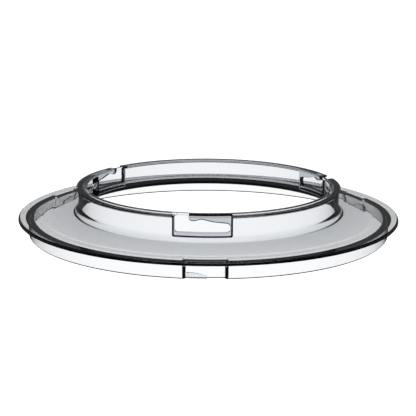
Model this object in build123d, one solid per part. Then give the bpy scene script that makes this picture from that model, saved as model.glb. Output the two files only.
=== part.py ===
from build123d import *
import math
import os

# Mixing bowl lid ring: one clear moulded ring that closes the outer part of a
# mixing bowl and carries a bayonet collar for a smaller lid or a feed chute.
# Millimetres, +Z up, origin at the centre of the skirt's foot.

# Rim and skirt
RIM_R = 120.0            # outer radius of the rim that rests on the bowl
RIM_OVERHANG = 6.5       # how far the rim stands out past the skirt
SKIRT_H = 9.6            # height of the skirt below the rim
SKIRT_T = 1.3            # wall of the skirt
SHELL_T = 1.8            # thickness of the rim and the sloping top
EDGE_BREAK = 0.4         # small bevel on the outer edges of rim and lip

# Sloping top
RIM_FLAT = 15.0          # width of the flat rim, from its edge to the slope
SLOPE_RISE = 3.2         # rise of the slope from there to the collar wall
ROOT_T = 1.0             # how much thicker the slope is where it meets the collar

# Collar and lip
COLLAR_R = 82.2          # outer radius of the collar wall
COLLAR_T = 1.9           # wall of the collar
COLLAR_H = 18.55         # top of the lip above the flat rim
COVE_R = 4.5             # cove between the slope and the collar
FOOT_BREAK = 1.8         # bevel of the collar's foot inside, opposite the cove
LIP_T = 1.55             # thickness of the lip
LIP_OUT = 1.2            # how far the lip stands out from the collar wall
LIP_IN = 3.3             # how far the lip reaches inside the collar wall

# Bayonet pockets around the collar
POCKETS = 3
POCKET_AZ = -92.5        # direction of the first pocket's middle
POCKET_HALF = 16.4       # half the width of a pocket
POCKET_DEPTH = 9.6       # pocket's floor below the underside of the lip
POCKET_END_T = 1.4       # end wall of a pocket
POCKET_SET = 0.2         # pocket box behind the inner edge of the lip
POCKET_BACK_T = 1.5      # back wall of a pocket
POCKET_FLOOR_T = 3.4     # floor of a pocket
POCKET_EDGE = 0.8        # bevel of the pocket box's edges inside the ring
POCKET_CORNER = 1.8      # rounding of the lower corners of box and entry
POCKET_ROUND = 2.4       # rounding of the closed end
ENTRY_W = 8.5            # width of the open entry at one end of a pocket
ENTRY_SLANT = 2.0        # how far the lip's end at the entry leans over

# Cam that closes a pocket above, heights below the underside of the lip
CAM_NOSE = 2.3           # at the nose beside the entry
CAM_CREST = 1.2          # at the detent
CAM_FALL = 2.8           # past the detent
CAM_END = 4.0            # at the closed end
NOSE_LEN = 3.4           # from the entry to the end of the flat nose
CREST_AT = 7.4           # from the entry to the detent
FALL_AT = 14.3           # from the entry to the end of the falling flank
NOSE_ROUND = 1.3         # rounding of the nose
CREST_ROUND = 2.5        # rounding of the detent
FALL_ROUND = 6.0         # rounding past the detent

# Notches in the skirt, each with a lead-in wedge
NOTCHES = 3
NOTCH_AZ = -90.8         # direction of the first notch's middle
NOTCH_HALF = 11.2        # half the width of a notch
NOTCH_DEPTH = 2.6        # how far the skirt steps in
NOTCH_CORNER = 1.0       # rounding of the notch's upright corners
WEDGE_LEN = 12.1         # length of the wedge along the notch
WEDGE_RAMP = 7.2         # length of the wedge's falling end
WEDGE_H = 3.4            # height of the wedge at its tall end
WEDGE_TIP = 1.75         # height of the wedge at its low end
WEDGE_OUT = 1.3          # how far the wedge stands out from the notch's wall
WEDGE_ROUND = 20.0       # rounding where the wedge begins to fall
TIP_ROUND = 0.5          # rounding of its low end

PAST = 1.0               # how far a cut or a joined piece runs past a wall

SKIRT_R = RIM_R - RIM_OVERHANG
SKIRT_INNER = SKIRT_R - SKIRT_T
NOTCH_R = SKIRT_R - NOTCH_DEPTH
SLOPE_R = RIM_R - RIM_FLAT
SLOPE = SLOPE_RISE / (SLOPE_R - COLLAR_R)
RIM_TOP = SKIRT_H + SHELL_T
LIP_TOP = RIM_TOP + COLLAR_H
LIP_UNDER = LIP_TOP - LIP_T
COLLAR_INNER = COLLAR_R - COLLAR_T
LIP_R_OUT = COLLAR_R + LIP_OUT
LIP_R_IN = COLLAR_INNER - LIP_IN
POCKET_BACK_R = LIP_R_IN + POCKET_SET
POCKET_R = POCKET_BACK_R + POCKET_BACK_T
POCKET_FLOOR = LIP_UNDER - POCKET_DEPTH


def near(shape, points):
    """The corners of a flat shape that lie nearest to the given points."""
    corners = shape.vertices()
    return [corners.sort_by_distance((x, y, 0))[0] for x, y in points]


def annulus(inner, outer, bottom, top):
    """A plain ring between two radii and two heights."""
    ring = Circle(outer) - Circle(inner)
    return Pos(0, 0, bottom) * extrude(ring, top - bottom)


def side_plane(azimuth):
    """Upright plane through the axis: x along the wall, y up, z outwards."""
    angle = math.radians(azimuth)
    outward = (math.cos(angle), math.sin(angle), 0)
    along = (-math.sin(angle), math.cos(angle), 0)
    return Plane(origin=(0, 0, 0), x_dir=along, z_dir=outward)


def shell():
    """Rim, sloping top, collar and lip, turned from one section."""
    foot_out = RIM_TOP + SLOPE_RISE
    foot_in = SKIRT_H + SLOPE_RISE + SLOPE * COLLAR_T - ROOT_T
    section = make_face(Polyline(
        (SLOPE_R, SKIRT_H),
        (RIM_R, SKIRT_H),
        (RIM_R, RIM_TOP),
        (SLOPE_R, RIM_TOP),
        (COLLAR_R, foot_out),
        (COLLAR_R, LIP_UNDER),
        (LIP_R_OUT, LIP_UNDER),
        (LIP_R_OUT, LIP_TOP),
        (LIP_R_IN, LIP_TOP),
        (LIP_R_IN, LIP_UNDER),
        (COLLAR_INNER, LIP_UNDER),
        (COLLAR_INNER, foot_in),
        close=True,
    ))
    section = fillet(near(section, [(COLLAR_R, foot_out)]), COVE_R)
    broken = [
        (RIM_R, SKIRT_H),
        (RIM_R, RIM_TOP),
        (LIP_R_OUT, LIP_TOP),
    ]
    section = chamfer(near(section, broken), EDGE_BREAK)
    section = chamfer(near(section, [(COLLAR_INNER, foot_in)]), FOOT_BREAK)
    return revolve(Plane.XZ * section, Axis.Z)


def notch_cut(azimuth, half, radius):
    """Plan of one notch: a straight-sided bay outside the given radius."""
    bay = Pos(RIM_R / 2, 0) * Rectangle(RIM_R, 2 * half)
    return Rot(0, 0, azimuth) * bay - Circle(radius)


def skirt():
    """The upright wall that drops into the bowl, stepped in at the notches."""
    outer = Circle(SKIRT_R)
    inner = Circle(SKIRT_INNER)
    for i in range(NOTCHES):
        azimuth = NOTCH_AZ + 360 / NOTCHES * i
        outer -= notch_cut(azimuth, NOTCH_HALF, NOTCH_R)
        inner -= notch_cut(azimuth, NOTCH_HALF + SKIRT_T, NOTCH_R - SKIRT_T)
    plan = outer - inner
    plan = fillet(plan.vertices(), NOTCH_CORNER)
    return extrude(plan, SKIRT_H + SHELL_T / 2)


def wedge(azimuth):
    """Lead-in wedge at one end of a notch, low towards the other end."""
    start = -NOTCH_HALF - PAST
    end = -NOTCH_HALF + WEDGE_LEN
    side = make_face(Polyline(
        (start, 0),
        (end, 0),
        (end, WEDGE_TIP),
        (end - WEDGE_RAMP, WEDGE_H),
        (start, WEDGE_H),
        close=True,
    ))
    side = fillet(near(side, [(end - WEDGE_RAMP, WEDGE_H)]), WEDGE_ROUND)
    side = fillet(near(side, [(end, WEDGE_TIP)]), TIP_ROUND)
    block = extrude(side_plane(azimuth) * side, SKIRT_R)
    return block & annulus(NOTCH_R - SKIRT_T / 2, NOTCH_R + WEDGE_OUT, 0, WEDGE_H)


def pocket_box(azimuth):
    """The box that stands inside the collar and backs one bayonet pocket."""
    half = POCKET_HALF + POCKET_END_T
    bottom = POCKET_FLOOR - POCKET_FLOOR_T
    top = LIP_UNDER + LIP_T / 2
    side = make_face(Polyline(
        (-half, bottom),
        (half, bottom),
        (half, top),
        (-half, top),
        close=True,
    ))
    side = fillet(near(side, [(-half, bottom), (half, bottom)]), POCKET_CORNER)
    block = extrude(side_plane(azimuth) * side, RIM_R)
    box = block & annulus(POCKET_BACK_R, COLLAR_INNER + COLLAR_T / 2, 0, LIP_TOP)
    back = box.faces().filter_by(GeomType.CYLINDER).sort_by(SortBy.AREA)[-2:]
    back = back.sort_by_distance((0, 0, POCKET_FLOOR))[0]
    edges = [edge for edge in back.edges() if edge.center().Z < LIP_UNDER]
    return chamfer(edges, POCKET_EDGE)


def pocket_cut(azimuth):
    """The opening of one pocket: entry from above, then a run under the cam."""
    left = -POCKET_HALF
    right = POCKET_HALF
    nose = left + ENTRY_W
    above = LIP_TOP + PAST
    side = make_face(Polyline(
        (left, POCKET_FLOOR),
        (right, POCKET_FLOOR),
        (right, LIP_UNDER - CAM_END),
        (nose + FALL_AT, LIP_UNDER - CAM_FALL),
        (nose + CREST_AT, LIP_UNDER - CAM_CREST),
        (nose + NOSE_LEN, LIP_UNDER - CAM_NOSE),
        (nose, LIP_UNDER - CAM_NOSE),
        (nose, above),
        (left, above),
        close=True,
    ))
    closed_end = [(right, POCKET_FLOOR), (right, LIP_UNDER - CAM_END)]
    detent = [(nose + NOSE_LEN, LIP_UNDER - CAM_NOSE), (nose + CREST_AT, LIP_UNDER - CAM_CREST)]
    side = fillet(near(side, closed_end), POCKET_ROUND)
    side = fillet(near(side, [(left, POCKET_FLOOR)]), POCKET_CORNER)
    side = fillet(near(side, [(nose, LIP_UNDER - CAM_NOSE)]), NOSE_ROUND)
    side = fillet(near(side, detent), CREST_ROUND)
    side = fillet(near(side, [(nose + FALL_AT, LIP_UNDER - CAM_FALL)]), FALL_ROUND)
    block = extrude(side_plane(azimuth) * side, RIM_R)
    return block & annulus(POCKET_R, LIP_R_OUT + PAST, 0, above)


def entry_slant(azimuth):
    """Takes the lip's end at the entry off along a line that leans back inside."""
    outer = LIP_R_OUT + PAST
    plan = make_face(Polyline(
        (LIP_R_IN, PAST - POCKET_HALF),
        (outer, PAST - POCKET_HALF),
        (outer, -POCKET_HALF),
        (LIP_R_IN, -POCKET_HALF - ENTRY_SLANT),
        close=True,
    ))
    block = Pos(0, 0, LIP_UNDER) * Rot(0, 0, azimuth) * extrude(plan, LIP_T + PAST)
    return block & annulus(POCKET_R, outer, LIP_UNDER, LIP_TOP + PAST)


ring = shell() + skirt()
for i in range(NOTCHES):
    ring += wedge(NOTCH_AZ + 360 / NOTCHES * i)
for i in range(POCKETS):
    ring += pocket_box(POCKET_AZ + 360 / POCKETS * i)
for i in range(POCKETS):
    ring -= pocket_cut(POCKET_AZ + 360 / POCKETS * i)
    ring -= entry_slant(POCKET_AZ + 360 / POCKETS * i)

os.makedirs("parts", exist_ok=True)
export_step(ring, "parts/lid_ring.step")
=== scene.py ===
import math

import bmesh
import bpy
from bpy.props import FloatProperty, FloatVectorProperty, IntProperty, PointerProperty
from mathutils import Matrix, Vector


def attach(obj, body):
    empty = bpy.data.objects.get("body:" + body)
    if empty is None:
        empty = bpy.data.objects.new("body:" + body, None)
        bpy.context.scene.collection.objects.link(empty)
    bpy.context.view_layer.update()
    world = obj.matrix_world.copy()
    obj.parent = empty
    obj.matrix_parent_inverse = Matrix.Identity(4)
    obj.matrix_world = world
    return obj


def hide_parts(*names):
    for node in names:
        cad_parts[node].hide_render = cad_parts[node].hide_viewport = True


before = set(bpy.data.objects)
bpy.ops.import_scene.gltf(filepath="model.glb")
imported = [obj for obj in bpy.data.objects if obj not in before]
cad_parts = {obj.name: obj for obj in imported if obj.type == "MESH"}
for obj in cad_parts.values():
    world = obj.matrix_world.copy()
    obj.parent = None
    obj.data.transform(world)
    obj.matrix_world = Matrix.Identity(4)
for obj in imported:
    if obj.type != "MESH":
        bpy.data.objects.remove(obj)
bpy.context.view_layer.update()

bl_info = {
    "name": "Mixing bowl lid ring",
    "version": (1, 0, 0),
    "blender": (4, 5, 0),
    "location": "3D View > Sidebar > Lid ring",
    "description": "Models a clear moulded lid ring for a mixing bowl on a light table",
    "category": "Object",
}

MM = 0.001
RING_NODE = "lid_ring"
MERGE = 0.002 * MM       # points nearer than this are one point
PAST = 1.0 * MM          # how far a cut or a joined piece runs past a wall
OVERLAP = 0.02 * MM      # how far a fillet is sunk into the walls that it joins
SMOOTH_BELOW = math.radians(28)    # faces that meet at less than this are shaded as one
CUTTER_SIDES = 720       # sides of a round cutter
CUTTER_TALL = 0.1        # height of a round cutter, well past the ring's

# Shell
SLOPE_BEND = 20.0 * MM   # rounding where the flat rim turns into the slope
LIP_CREASE = 0.15 * MM   # rounding under the lip outside

# Skirt
CREASE_GAP = 0.015 * MM  # the skirt's crease ends this far below the rim's underside
CREASE_END = 0.15 * MM   # flat strip between the crease and the part inside the rim
FOOT_STRIP = 0.01 * MM   # flat strip at the foot beside its bevel
CORNER_STEPS = 10        # steps of a notch's upright corner
NOTCH_STEPS = 12         # steps of a notch's stepped-in wall
ROOT_DEPTH = 0.3 * MM    # how far a root fillet reaches into the skirt
ROOT_TOP = 0.5 * MM      # how far a root fillet reaches into the rim

# Lead-in wedge
WEDGE_LEN = 12.1 * MM
WEDGE_RAMP = 7.2 * MM
WEDGE_H = 3.4 * MM
WEDGE_TIP = 1.75 * MM    # height at the low end of the ramp
WEDGE_OUT = 1.3 * MM     # how far it stands out from the notch's wall
WEDGE_BEND = 20.0 * MM
WEDGE_SINK = 0.4 * MM    # how far it is sunk into the notch's wall
WEDGE_BLOCK = 4 * MM     # thickness before its outside is cut round
TIP_ROUND = 0.5 * MM

# Pocket
POCKET_END_T = 1.4 * MM  # end walls
POCKET_BACK = 1.7 * MM   # from the lip's inner edge to the room's back
BOX_SET = 0.2 * MM       # how far the box stays behind the lip's inner edge
BOX_FLOOR_T = 3.4 * MM
BOX_CORNER = 3.3 * MM    # upright corners of the box
BOX_EDGE = 1.3 * MM      # lower edge of the box
BOX_MARGIN = 0.2 * MM    # edges this near to the collar's wall are left square
ROOM_CORNER = 1.9 * MM   # upright corners of the room
ROOM_ROUND = 2.4 * MM    # closed end of the room
ENTRY_CORNER = 1.8 * MM  # foot of the entry
ENTRY_SLANT = 2.0 * MM   # how much wider the entry is at the lip's inner edge
SLANT_GAP = 0.15 * MM    # the slant starts this far outside the room's back
SLANT_DROP = 0.25 * MM   # and runs this far below the lip
CUT_START = 70 * MM      # distance from the axis where the cut begins
CUT_DEPTH = 20 * MM

# Cam under the lip, from its nose to the closed end: place, drop below the lip and rounding
NOSE_DROP = 2.3 * MM
NOSE_ROUND = 2.0 * MM
HOOK_AT = 3.4 * MM
HOOK_BEND = 2.2 * MM
DETENT_AT = 7.4 * MM
DETENT_DROP = 1.2 * MM
DETENT_BEND = 2.5 * MM
FLANK_AT = 14.3 * MM
FLANK_DROP = 2.8 * MM
FLANK_BEND = 6.0 * MM
END_DROP = 4.0 * MM

# Stage
MIRRORED_GLOW = 0.04     # share of the floor's glow that is left in a mirrored view of it
GLOW_LOW = 0.26          # the room's glow fades between these heights of the line of sight
GLOW_HIGH = 0.45
CAMERA_PLACE = (0, -0.9403, 0.2397)
CAMERA_TURN = math.radians(0.0188)
CAMERA_TILT = math.radians(76.5288)
CAMERA_ROLL = math.radians(0.35)
CAMERA_LENS = 131.73
CAMERA_SENSOR = 36


def length(name, text, millimetres):
    """A size of the ring, kept in metres."""
    return FloatProperty(name=name, description=text, default=millimetres * MM,
                         precision=5, unit="LENGTH")


class LidRingSizes(bpy.types.PropertyGroup):
    """Sizes of the ring."""

    rim_r: length("Rim radius", "Outer radius of the rim", 120.0)
    rim_flat: length("Flat rim", "Width of the flat rim from its edge to the slope", 15.0)
    shell_t: length("Shell thickness", "Thickness of the rim and the sloping top", 1.8)
    slope_rise: length("Slope rise", "Rise of the slope up to the collar", 3.2)
    skirt_r: length("Skirt radius", "Outer radius of the skirt", 113.5)
    skirt_h: length("Skirt height", "Height of the skirt below the rim", 9.6)
    skirt_t: length("Skirt wall", "Thickness of the skirt", 1.3)
    skirt_root: length("Skirt root", "Rounding between the skirt and the rim", 2.3)
    skirt_crease: length("Skirt crease", "Rounding of the crease beside the root's fillets", 0.4)
    collar_r: length("Collar radius", "Outer radius of the collar", 82.2)
    collar_t: length("Collar wall", "Thickness of the collar", 1.9)
    cove_r: length("Cove", "Rounding between the slope and the collar", 4.5)
    lip_top: length("Lip top", "Height of the top of the lip", 29.95)
    lip_t: length("Lip thickness", "Thickness of the lip", 1.55)
    lip_out: length("Lip outside", "How far the lip stands out from the collar", 1.2)
    lip_in: length("Lip inside", "How far the lip reaches inside the collar", 3.3)
    lip_fillet: length("Lip fillet", "Rounding between the lip and the collar inside", 1.5)
    lip_round: length("Lip rounding", "Rounding of the lip's outer edges", 0.12)
    lip_crown: length("Lip crown", "How much lower the lip's top is at its outer edge", 0.5)
    lip_edge: length("Lip edge", "Rounding of the lip's inner edges", 0.12)
    rim_round: length("Rim rounding", "Rounding of the rim's upper edge", 1.5)
    rim_under: length("Rim underside", "Rounding of the rim's lower edge", 0.15)
    foot_round: length("Collar foot", "Rounding of the collar's foot inside", 4.2)
    foot_drop: length("Collar root", "How much thicker the slope is at the collar", 1.0)
    skirt_foot: length("Skirt foot", "Bevel of the skirt's lower edge outside", 0.6)
    skirt_foot_in: length("Skirt foot inside", "Bevel of the skirt's lower edge inside", 0.55)
    notch_half: length("Notch half width", "Half the width of a skirt notch", 11.2)
    notch_depth: length("Notch depth", "How far the skirt steps in at a notch", 2.6)
    notch_corner: length("Notch corner", "Rounding of the notch's upright corners", 1.0)
    notch_az: FloatProperty(name="Notch direction", description="Direction of the first notch",
                            default=math.radians(-90.8), subtype="ANGLE")
    pocket_half: length("Pocket half width", "Half the width of a bayonet pocket", 16.4)
    pocket_floor: length("Pocket floor", "Height of a pocket's floor", 18.8)
    pocket_az: FloatProperty(name="Pocket direction", description="Direction of the first pocket",
                             default=math.radians(-92.5), subtype="ANGLE")
    entry_w: length("Entry width", "Width of a pocket's open entry", 8.5)
    repeats: IntProperty(name="Repeats", description="Pockets and notches around the ring",
                         default=3, min=1)
    steps: IntProperty(name="Steps", description="Steps of a full turn", default=360, min=60)


class ClearPlasticLook(bpy.types.PropertyGroup):
    """Finish of the clear plastic."""

    tint: FloatVectorProperty(name="Tint", description="Colour that the plastic takes on in depth",
                              default=(0.27, 0.32, 0.38), subtype="COLOR", min=0, max=1)
    depth: FloatProperty(name="Smoke", description="How fast light fades inside the plastic, per metre",
                         default=205.0, min=0)
    wave_scale: FloatProperty(name="Wave scale", description="Moulding waves to a metre",
                              default=60.0, min=0)
    wave_height: FloatProperty(name="Wave height", description="Height of the moulding waves",
                               default=0.02 * MM, precision=6, unit="LENGTH")
    haze_scale: FloatProperty(name="Haze scale", description="Patches of haze to a metre",
                              default=140.0, min=0)
    haze: FloatProperty(name="Haze", description="Roughness where the surface is dullest",
                        default=0.06, min=0, max=1)
    ior: FloatProperty(name="Index", description="Index of refraction of the plastic",
                       default=1.58, min=1)


class LightTableLook(bpy.types.PropertyGroup):
    """Floor, room and lamp."""

    floor: FloatVectorProperty(name="Floor", description="Colour of the lit floor",
                               default=(1.0, 1.0, 1.0), subtype="COLOR", min=0, max=1)
    glow: FloatProperty(name="Glow", description="Brightness of the lit floor", default=1.3, min=0)
    reach: FloatProperty(name="Reach", description="Half the width of the floor",
                         default=6.0, unit="LENGTH")
    horizon: FloatProperty(name="Horizon", description="Brightness of the room low down",
                           default=0.12, min=0)
    room: FloatProperty(name="Room", description="Brightness of the dark room above",
                        default=0.01, min=0)
    lamp: FloatProperty(name="Lamp", description="Power of the soft lamp overhead, in watts",
                        default=3.0, min=0)
    lamp_size: FloatProperty(name="Lamp size", description="Width of the soft lamp",
                             default=1.0, unit="LENGTH")
    lamp_height: FloatProperty(name="Lamp height", description="Height of the soft lamp",
                               default=1.2, unit="LENGTH")


# Drawing and shaping by operators


def leave_edit():
    """Back to object mode with nothing selected."""
    if bpy.context.object and bpy.context.object.mode != "OBJECT":
        bpy.ops.object.mode_set(mode="OBJECT")
    bpy.ops.object.select_all(action="DESELECT")


def take(obj):
    """Makes one object the only one selected and the active one."""
    leave_edit()
    obj.select_set(True)
    bpy.context.view_layer.objects.active = obj


def edit(obj):
    """Opens one object in edit mode with vertices, edges and faces free to select."""
    take(obj)
    bpy.ops.object.mode_set(mode="EDIT")
    bpy.ops.mesh.select_mode(type="VERT")
    bpy.ops.mesh.select_all(action="DESELECT")


def pick_points(obj, test):
    """Selects the points of the open mesh that pass a test."""
    bpy.ops.mesh.select_mode(type="VERT")
    bpy.ops.mesh.select_all(action="DESELECT")
    mesh = bmesh.from_edit_mesh(obj.data)
    for point in mesh.verts:
        point.select_set(test(point.co))
    mesh.select_flush(True)
    bmesh.update_edit_mesh(obj.data)


def pick_edges(obj, test):
    """Selects the edges of the open mesh that pass a test."""
    bpy.ops.mesh.select_mode(type="EDGE")
    bpy.ops.mesh.select_all(action="DESELECT")
    mesh = bmesh.from_edit_mesh(obj.data)
    for line in mesh.edges:
        line.select_set(test(line))
    bmesh.update_edit_mesh(obj.data)


def draw(name, corners, closed=True):
    """Draws a flat outline from corner to corner, and rounds the corners that have a radius.

    A corner is a point, a rounding radius and the number of steps of the rounding.
    """
    leave_edit()
    points = [Vector(corner[0]) for corner in corners]
    bpy.ops.mesh.primitive_plane_add(size=MM, location=points[0])
    obj = bpy.context.object
    obj.name = name
    bpy.ops.object.transform_apply(location=True, rotation=True, scale=True)
    edit(obj)
    bpy.ops.mesh.select_all(action="SELECT")
    bpy.ops.mesh.merge(type="CENTER")
    for start, end in zip(points, points[1:]):
        bpy.ops.mesh.extrude_region_move(TRANSFORM_OT_translate={"value": end - start})
    if closed:
        bpy.ops.mesh.select_all(action="SELECT")
        bpy.ops.mesh.edge_face_add()
    count = len(points)
    for i, (point, radius, segments) in enumerate(corners):
        if not radius:
            continue
        here = Vector(point)
        before = (points[i - 1] - here).normalized()
        after = (points[(i + 1) % count] - here).normalized()
        turn = math.pi - before.angle(after)
        pick_points(obj, lambda co: (co - here).length < MERGE)
        bpy.ops.mesh.bevel(affect="VERTICES", offset=radius * math.tan(turn / 2),
                           segments=segments, profile=0.5)
    return obj


def solidify_ends(obj):
    """Merges doubled points and turns the faces of a closed shape outwards."""
    edit(obj)
    bpy.ops.mesh.select_all(action="SELECT")
    bpy.ops.mesh.remove_doubles(threshold=MERGE)
    bpy.ops.mesh.select_all(action="SELECT")
    bpy.ops.mesh.normals_make_consistent(inside=False)
    leave_edit()


def turn_full(obj, steps):
    """Spins a drawn section into a full ring."""
    edit(obj)
    bpy.ops.mesh.select_all(action="SELECT")
    bpy.ops.mesh.delete(type="ONLY_FACE")
    bpy.ops.mesh.select_all(action="SELECT")
    bpy.ops.mesh.spin(steps=steps, angle=2 * math.pi, center=(0, 0, 0), axis=(0, 0, 1))
    solidify_ends(obj)


def pull(obj, move):
    """Pulls a drawn face into a block."""
    edit(obj)
    bpy.ops.mesh.select_all(action="SELECT")
    bpy.ops.mesh.extrude_region_move(TRANSFORM_OT_translate={"value": move})
    solidify_ends(obj)


def combine(obj, tool, operation):
    """Joins, cuts or crosses two closed shapes and keeps the first."""
    take(obj)
    change = obj.modifiers.new("Shape", "BOOLEAN")
    change.operation = operation
    change.solver = "EXACT"
    change.object = tool
    bpy.ops.object.modifier_apply(modifier=change.name)
    bpy.data.objects.remove(tool)


def place_around(obj, azimuth, repeats):
    """Turns a piece made along +X to its direction and repeats it around the axis."""
    pieces = []
    for i in range(repeats):
        copy = obj.copy()
        copy.data = obj.data.copy()
        bpy.context.collection.objects.link(copy)
        copy.rotation_euler[2] = azimuth + 2 * math.pi * i / repeats
        pieces.append(copy)
    bpy.data.objects.remove(obj)
    leave_edit()
    for piece in pieces:
        piece.select_set(True)
    bpy.context.view_layer.objects.active = pieces[0]
    bpy.ops.object.transform_apply(location=True, rotation=True, scale=True)
    bpy.ops.object.join()
    return bpy.context.object


# Parts of the ring


def shell(s):
    """Rim, slope, collar and lip, spun from one section."""
    slope_r = s.rim_r - s.rim_flat
    slope = s.slope_rise / (slope_r - s.collar_r)
    rim_top = s.skirt_h + s.shell_t
    collar_in = s.collar_r - s.collar_t
    lip_under = s.lip_top - s.lip_t
    lip_r_in = collar_in - s.lip_in
    foot_in = s.skirt_h + s.slope_rise + slope * s.collar_t - s.foot_drop
    corners = [
        (slope_r, s.skirt_h, SLOPE_BEND, 4),
        (s.rim_r, s.skirt_h, s.rim_under, 3),
        (s.rim_r, rim_top, s.rim_round, 10),
        (slope_r, rim_top, SLOPE_BEND, 4),
        (s.collar_r, rim_top + s.slope_rise, s.cove_r, 12),
        (s.collar_r, lip_under, LIP_CREASE, 5),
        (s.collar_r + s.lip_out, lip_under, s.lip_round, 5),
        (s.collar_r + s.lip_out, s.lip_top - s.lip_crown, s.lip_round, 5),
        (lip_r_in, s.lip_top, s.lip_edge, 5),
        (lip_r_in, lip_under, s.lip_edge, 5),
        (collar_in, lip_under, s.lip_fillet, 8),
        (collar_in, foot_in, s.foot_round, 8),
    ]
    obj = draw("shell", [((r, 0, z), radius, steps) for r, z, radius, steps in corners])
    turn_full(obj, s.steps)
    return obj


def skirt_side(s, wall_r, half, side):
    """One face of the skirt, from its foot to its root, swept along the stepped outline.

    side is 1 for the outer face and -1 for the inner one.
    """
    low = s.skirt_h - CREASE_GAP
    foot = s.skirt_foot if side > 0 else s.skirt_foot_in
    flare = s.skirt_crease + CREASE_END
    profile = [
        ((wall_r - side * (foot + FOOT_STRIP), 0, 0), 0, 0),
        ((wall_r, 0, 0), foot, 1),
        ((wall_r, 0, low), s.skirt_crease, 7),
        ((wall_r + side * flare, 0, low), 0, 0),
        ((wall_r + side * flare, 0, s.skirt_h + s.shell_t / 2), 0, 0),
    ]
    obj = draw("skirt_side", profile, closed=False)
    leave_edit()
    take(obj)
    obj.rotation_euler[2] = s.notch_az - math.pi / s.repeats
    bpy.ops.object.transform_apply(location=True, rotation=True, scale=True)
    edit(obj)
    bpy.ops.mesh.select_all(action="SELECT")

    notch_r = wall_r - s.notch_depth
    corner = s.notch_corner
    out_y = half + corner
    out_x = math.sqrt((wall_r - corner) ** 2 - out_y ** 2)
    in_y = half - corner
    in_x = math.sqrt((notch_r + corner) ** 2 - in_y ** 2)
    out_az = math.atan2(out_y, out_x)
    in_az = math.atan2(in_y, in_x)
    long_arc = math.pi / s.repeats - out_az
    arc_steps = s.steps // (2 * s.repeats)

    def sweep(angle, centre, steps):
        bpy.ops.mesh.spin(steps=steps, angle=-angle, center=centre, axis=(0, 0, 1))

    for i in range(s.repeats):
        turn = Matrix.Rotation(s.notch_az + 2 * math.pi * i / s.repeats, 3, "Z")
        inwards = turn @ Vector((in_x - out_x, 0, 0))
        sweep(long_arc, (0, 0, 0), arc_steps)
        sweep(math.pi / 2 + out_az, turn @ Vector((out_x, -out_y, 0)), CORNER_STEPS)
        bpy.ops.mesh.extrude_region_move(TRANSFORM_OT_translate={"value": inwards})
        sweep(-math.pi / 2 - in_az, turn @ Vector((in_x, -in_y, 0)), CORNER_STEPS)
        sweep(2 * in_az, (0, 0, 0), NOTCH_STEPS)
        sweep(-math.pi / 2 - in_az, turn @ Vector((in_x, in_y, 0)), CORNER_STEPS)
        bpy.ops.mesh.extrude_region_move(TRANSFORM_OT_translate={"value": -inwards})
        sweep(math.pi / 2 + out_az, turn @ Vector((out_x, out_y, 0)), CORNER_STEPS)
        sweep(long_arc, (0, 0, 0), arc_steps)
    bpy.ops.mesh.select_all(action="SELECT")
    bpy.ops.mesh.remove_doubles(threshold=MERGE)
    leave_edit()
    return obj


def skirt(s):
    """The stepped skirt with a bevelled foot and a small crease below the rim."""
    outer = skirt_side(s, s.skirt_r, s.notch_half, 1)
    inner = skirt_side(s, s.skirt_r - s.skirt_t, s.notch_half + s.skirt_t, -1)
    take(outer)
    inner.select_set(True)
    bpy.ops.object.join()
    edit(outer)
    top = s.skirt_h + s.shell_t / 2
    for level in (0.0, top):
        pick_edges(outer, lambda line: line.is_boundary
                   and all(abs(v.co.z - level) < MERGE for v in line.verts))
        bpy.ops.mesh.fill(use_beauty=True)
    solidify_ends(outer)
    return outer


def skirt_roots(s):
    """Fillets between the skirt and the rim: outside and inside, plain and at the notches."""
    outside = (1, s.skirt_r, s.notch_half)
    inside = (-1, s.skirt_r - s.skirt_t, s.notch_half + s.skirt_t)
    pieces = []
    for side, wall_r, half in (outside, inside):
        for stepped in (False, True):
            r = wall_r - s.notch_depth if stepped else wall_r
            edge = math.asin((half - OVERLAP if stepped else half + s.skirt_t / 2) / r)
            arc = 2 * edge if stepped else 2 * math.pi / s.repeats - 2 * edge
            start = -edge if stepped else edge
            deep = r - side * ROOT_DEPTH
            near = r - side * OVERLAP
            far = r + side * s.skirt_root
            foot = s.skirt_h - s.skirt_root
            top = s.skirt_h + ROOT_TOP
            section = [
                ((deep, 0, foot), 0, 0),
                ((near, 0, foot), 0, 0),
                ((near, 0, s.skirt_h + OVERLAP), s.skirt_root, 8),
                ((far, 0, s.skirt_h + OVERLAP), 0, 0),
                ((far, 0, top), 0, 0),
                ((deep, 0, top), 0, 0),
            ]
            obj = draw("skirt_root", section)
            leave_edit()
            take(obj)
            obj.rotation_euler[2] = start
            bpy.ops.object.transform_apply(location=True, rotation=True, scale=True)
            edit(obj)
            bpy.ops.mesh.select_all(action="SELECT")
            steps = NOTCH_STEPS if stepped else s.steps // s.repeats
            bpy.ops.mesh.spin(steps=steps, angle=-arc, center=(0, 0, 0), axis=(0, 0, 1))
            solidify_ends(obj)
            pieces.append(place_around(obj, s.notch_az, s.repeats))
    return pieces


def wedges(s):
    """Lead-in wedges at one end of the notches."""
    start = -s.notch_half - PAST
    end = -s.notch_half + WEDGE_LEN
    x = s.skirt_r - s.notch_depth - WEDGE_SINK
    side = [
        ((x, start, 0), 0, 0),
        ((x, end, 0), 0, 0),
        ((x, end, WEDGE_TIP), TIP_ROUND, 4),
        ((x, end - WEDGE_RAMP, WEDGE_H), WEDGE_BEND, 6),
        ((x, start, WEDGE_H), 0, 0),
    ]
    obj = draw("wedge", side)
    pull(obj, (WEDGE_BLOCK, 0, 0))
    leave_edit()
    out_r = s.skirt_r - s.notch_depth + WEDGE_OUT
    bpy.ops.mesh.primitive_cylinder_add(vertices=CUTTER_SIDES, radius=out_r, depth=CUTTER_TALL)
    combine(obj, bpy.context.object, "INTERSECT")
    return place_around(obj, s.notch_az, s.repeats)


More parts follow.
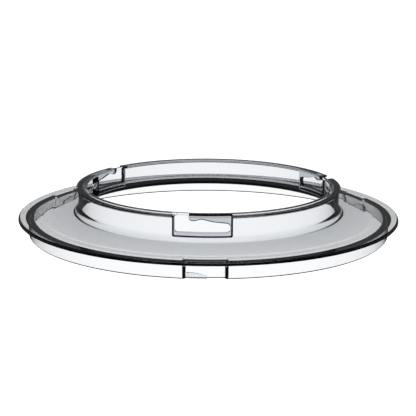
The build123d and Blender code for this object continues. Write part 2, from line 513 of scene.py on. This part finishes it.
def arc_plan(radius, half, level, rounding, segments=12):
    """Corners of an arc across +X, from -half to half, rounded at its two ends."""
    reach = math.asin(half / radius)
    corners = []
    for i in range(segments + 1):
        azimuth = reach * (2 * i / segments - 1)
        point = (radius * math.cos(azimuth), radius * math.sin(azimuth), level)
        corners.append((point, rounding if i in (0, segments) else 0, 6))
    return corners


def pocket_boxes(s):
    """The boxes that stand inside the collar and back the pockets."""
    half = s.pocket_half + POCKET_END_T
    back_r = s.collar_r - s.collar_t - s.lip_in + BOX_SET
    front_r = s.collar_r - s.collar_t / 2
    bottom = s.pocket_floor - BOX_FLOOR_T
    top = s.lip_top - s.lip_t / 2
    reach = math.asin(half / front_r)
    plan = arc_plan(back_r, half, bottom, BOX_CORNER, 8)
    plan += arc_plan(front_r, half, bottom, 0, 10)[::-1]
    obj = draw("pocket_box", plan)
    pull(obj, (0, 0, top - bottom))
    edit(obj)
    inside = front_r * math.cos(reach / 5) - BOX_MARGIN

    def lower_edge(line):
        middle = (line.verts[0].co + line.verts[1].co) / 2
        level = all(abs(v.co.z - bottom) < MERGE for v in line.verts)
        return level and math.hypot(middle.x, middle.y) < inside

    pick_edges(obj, lower_edge)
    bpy.ops.mesh.bevel(affect="EDGES", offset=BOX_EDGE, segments=5, profile=0.5)
    solidify_ends(obj)
    return place_around(obj, s.pocket_az, s.repeats)


def pocket_cuts(s):
    """The room inside the pockets: entry from above, then a run under the cam."""
    under = s.lip_top - s.lip_t
    above = s.lip_top + PAST
    left = -s.pocket_half
    right = s.pocket_half
    nose = left + s.entry_w
    side = [
        ((left, s.pocket_floor), ENTRY_CORNER, 6),
        ((right, s.pocket_floor), ROOM_ROUND, 8),
        ((right, under - END_DROP), ROOM_ROUND, 8),
        ((nose + FLANK_AT, under - FLANK_DROP), FLANK_BEND, 4),
        ((nose + DETENT_AT, under - DETENT_DROP), DETENT_BEND, 5),
        ((nose + HOOK_AT, under - NOSE_DROP), HOOK_BEND, 5),
        ((nose, under - NOSE_DROP), NOSE_ROUND, 8),
        ((nose, above), 0, 0),
        ((left, above), 0, 0),
    ]
    obj = draw("pocket_cut", [((CUT_START, y, z), radius, steps) for (y, z), radius, steps in side])
    pull(obj, (CUT_DEPTH, 0, 0))
    lip_in = s.collar_r - s.collar_t - s.lip_in
    outside = s.collar_r + s.lip_out + PAST
    back_r = lip_in + POCKET_BACK
    plan = arc_plan(back_r, right, s.pocket_floor - PAST, ROOM_CORNER)
    plan += [((outside, y, s.pocket_floor - PAST), 0, 0) for y in (right, left)]
    room = draw("pocket_room", plan)
    pull(room, (0, 0, above + 2 * PAST - s.pocket_floor))
    combine(obj, room, "INTERSECT")
    plan = [(lip_in, left + PAST), (outside, left + PAST), (outside, left), (lip_in, left - ENTRY_SLANT)]
    slant = draw("entry_slant", [((px, py, under - SLANT_DROP), 0, 0) for px, py in plan])
    pull(slant, (0, 0, above - under + SLANT_DROP))
    leave_edit()
    bpy.ops.mesh.primitive_cylinder_add(vertices=CUTTER_SIDES, radius=back_r + SLANT_GAP, depth=CUTTER_TALL)
    combine(slant, bpy.context.object, "DIFFERENCE")
    combine(obj, slant, "UNION")
    return place_around(obj, s.pocket_az, s.repeats)


# Finish


def clear_plastic(look):
    """Clear plastic with a faint smoke tint, slight haze and moulding waves."""
    material = bpy.data.materials.new("clear_smoke_plastic")
    material.use_nodes = True
    nodes = material.node_tree.nodes
    links = material.node_tree.links
    bsdf = nodes["Principled BSDF"]
    output = nodes["Material Output"]
    bsdf.inputs["Base Color"].default_value = (1, 1, 1, 1)
    bsdf.inputs["Transmission Weight"].default_value = 1.0
    bsdf.inputs["IOR"].default_value = look.ior
    place = nodes.new("ShaderNodeTexCoord")
    waves = nodes.new("ShaderNodeTexNoise")
    waves.inputs["Scale"].default_value = look.wave_scale
    waves.inputs["Detail"].default_value = 1.0
    bump = nodes.new("ShaderNodeBump")
    bump.inputs["Strength"].default_value = 1.0
    bump.inputs["Distance"].default_value = look.wave_height
    haze = nodes.new("ShaderNodeTexNoise")
    haze.inputs["Scale"].default_value = look.haze_scale
    haze.inputs["Detail"].default_value = 4.0
    veil = nodes.new("ShaderNodeMapRange")
    veil.inputs["From Min"].default_value = 0.45
    veil.inputs["From Max"].default_value = 0.75
    veil.inputs["To Min"].default_value = 0.0
    veil.inputs["To Max"].default_value = look.haze
    links.new(place.outputs["Object"], waves.inputs["Vector"])
    links.new(waves.outputs["Fac"], bump.inputs["Height"])
    links.new(bump.outputs["Normal"], bsdf.inputs["Normal"])
    links.new(place.outputs["Object"], haze.inputs["Vector"])
    links.new(haze.outputs["Fac"], veil.inputs["Value"])
    links.new(veil.outputs["Result"], bsdf.inputs["Roughness"])
    volume = nodes.new("ShaderNodeVolumeAbsorption")
    volume.inputs["Color"].default_value = (*look.tint, 1)
    volume.inputs["Density"].default_value = look.depth
    links.new(volume.outputs["Volume"], output.inputs["Volume"])
    return material


class LIDRING_OT_ring(bpy.types.Operator):
    """Model the clear ring over its solid"""

    bl_idname = "lidring.ring"
    bl_label = "Ring"

    def execute(self, context):
        s = context.scene.lidring_sizes
        ring = shell(s)
        combine(ring, skirt(s), "UNION")
        for root in skirt_roots(s):
            combine(ring, root, "UNION")
        combine(ring, wedges(s), "UNION")
        combine(ring, pocket_boxes(s), "UNION")
        combine(ring, pocket_cuts(s), "DIFFERENCE")
        ring.name = "clear_ring"
        solidify_ends(ring)
        take(ring)
        bpy.ops.object.shade_smooth_by_angle(angle=SMOOTH_BELOW)
        shading = ring.modifiers.new("Flats stay flat", "WEIGHTED_NORMAL")
        shading.mode = "FACE_AREA"
        shading.weight = 100
        shading.keep_sharp = True
        bpy.ops.object.modifier_apply(modifier=shading.name)
        ring.data.materials.clear()
        ring.data.materials.append(clear_plastic(context.scene.lidring_plastic))
        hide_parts(RING_NODE)
        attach(ring, "root")
        return {"FINISHED"}


class LIDRING_OT_stage(bpy.types.Operator):
    """Set up the lit floor, the soft lamp, the room and the camera"""

    bl_idname = "lidring.stage"
    bl_label = "Stage"

    def execute(self, context):
        look = context.scene.lidring_stage
        leave_edit()
        bpy.ops.mesh.primitive_plane_add(size=2 * look.reach, location=(0, 0, 0))
        floor = context.object
        floor.name = "floor"
        material = bpy.data.materials.new("lit_floor")
        material.use_nodes = True
        bsdf = material.node_tree.nodes["Principled BSDF"]
        bsdf.inputs["Base Color"].default_value = (0, 0, 0, 1)
        bsdf.inputs["Specular IOR Level"].default_value = 0
        bsdf.inputs["Emission Color"].default_value = (*look.floor, 1)
        path = material.node_tree.nodes.new("ShaderNodeLightPath")
        level = material.node_tree.nodes.new("ShaderNodeMapRange")
        level.inputs["To Min"].default_value = look.glow
        level.inputs["To Max"].default_value = look.glow * MIRRORED_GLOW
        material.node_tree.links.new(path.outputs["Glossy Depth"], level.inputs["Value"])
        material.node_tree.links.new(level.outputs["Result"], bsdf.inputs["Emission Strength"])
        floor.data.materials.append(material)

        world = bpy.data.worlds.new("room")
        world.use_nodes = True
        background = world.node_tree.nodes["Background"]
        background.inputs["Color"].default_value = (1, 1, 1, 1)
        room = world.node_tree
        where = room.nodes.new("ShaderNodeTexCoord")
        split = room.nodes.new("ShaderNodeSeparateXYZ")
        fade = room.nodes.new("ShaderNodeMapRange")
        fade.interpolation_type = "SMOOTHSTEP"
        fade.inputs["From Min"].default_value = GLOW_LOW
        fade.inputs["From Max"].default_value = GLOW_HIGH
        fade.inputs["To Min"].default_value = look.horizon
        fade.inputs["To Max"].default_value = look.room
        room.links.new(where.outputs["Generated"], split.inputs["Vector"])
        room.links.new(split.outputs["Z"], fade.inputs["Value"])
        room.links.new(fade.outputs["Result"], background.inputs["Strength"])
        context.scene.world = world

        bpy.ops.object.light_add(type="AREA", location=(0, 0, look.lamp_height))
        context.object.name = "soft_lamp"
        context.object.data.size = look.lamp_size
        context.object.data.energy = look.lamp

        data = bpy.data.cameras.new("camera")
        data.lens = CAMERA_LENS
        data.sensor_width = CAMERA_SENSOR
        camera = bpy.data.objects.new("camera", data)
        context.collection.objects.link(camera)
        aim = Matrix.Rotation(CAMERA_TURN, 4, "Z") @ Matrix.Rotation(CAMERA_TILT, 4, "X")
        aim = aim @ Matrix.Rotation(CAMERA_ROLL, 4, "Z")
        camera.matrix_world = Matrix.Translation(CAMERA_PLACE) @ aim
        context.scene.camera = camera
        context.scene.view_settings.view_transform = "Standard"
        return {"FINISHED"}


class LIDRING_PT_panel(bpy.types.Panel):
    """Lid ring"""

    bl_idname = "LIDRING_PT_panel"
    bl_label = "Lid ring"
    bl_space_type = "VIEW_3D"
    bl_region_type = "UI"
    bl_category = "Lid ring"

    def draw(self, context):
        for operator in (LIDRING_OT_ring, LIDRING_OT_stage):
            self.layout.operator(operator.bl_idname)
        scene = context.scene
        for group in (scene.lidring_sizes, scene.lidring_plastic, scene.lidring_stage):
            box = self.layout.box()
            for name in group.bl_rna.properties.keys():
                if name not in ("rna_type", "name"):
                    box.prop(group, name)


CLASSES = (
    LidRingSizes,
    ClearPlasticLook,
    LightTableLook,
    LIDRING_OT_ring,
    LIDRING_OT_stage,
    LIDRING_PT_panel,
)


def register():
    for cls in CLASSES:
        bpy.utils.register_class(cls)
    bpy.types.Scene.lidring_sizes = PointerProperty(type=LidRingSizes)
    bpy.types.Scene.lidring_plastic = PointerProperty(type=ClearPlasticLook)
    bpy.types.Scene.lidring_stage = PointerProperty(type=LightTableLook)


def unregister():
    del bpy.types.Scene.lidring_stage
    del bpy.types.Scene.lidring_plastic
    del bpy.types.Scene.lidring_sizes
    for cls in reversed(CLASSES):
        bpy.utils.unregister_class(cls)


def main():
    register()
    bpy.ops.lidring.ring()
    bpy.ops.lidring.stage()


if __name__ == "__main__":
    main()
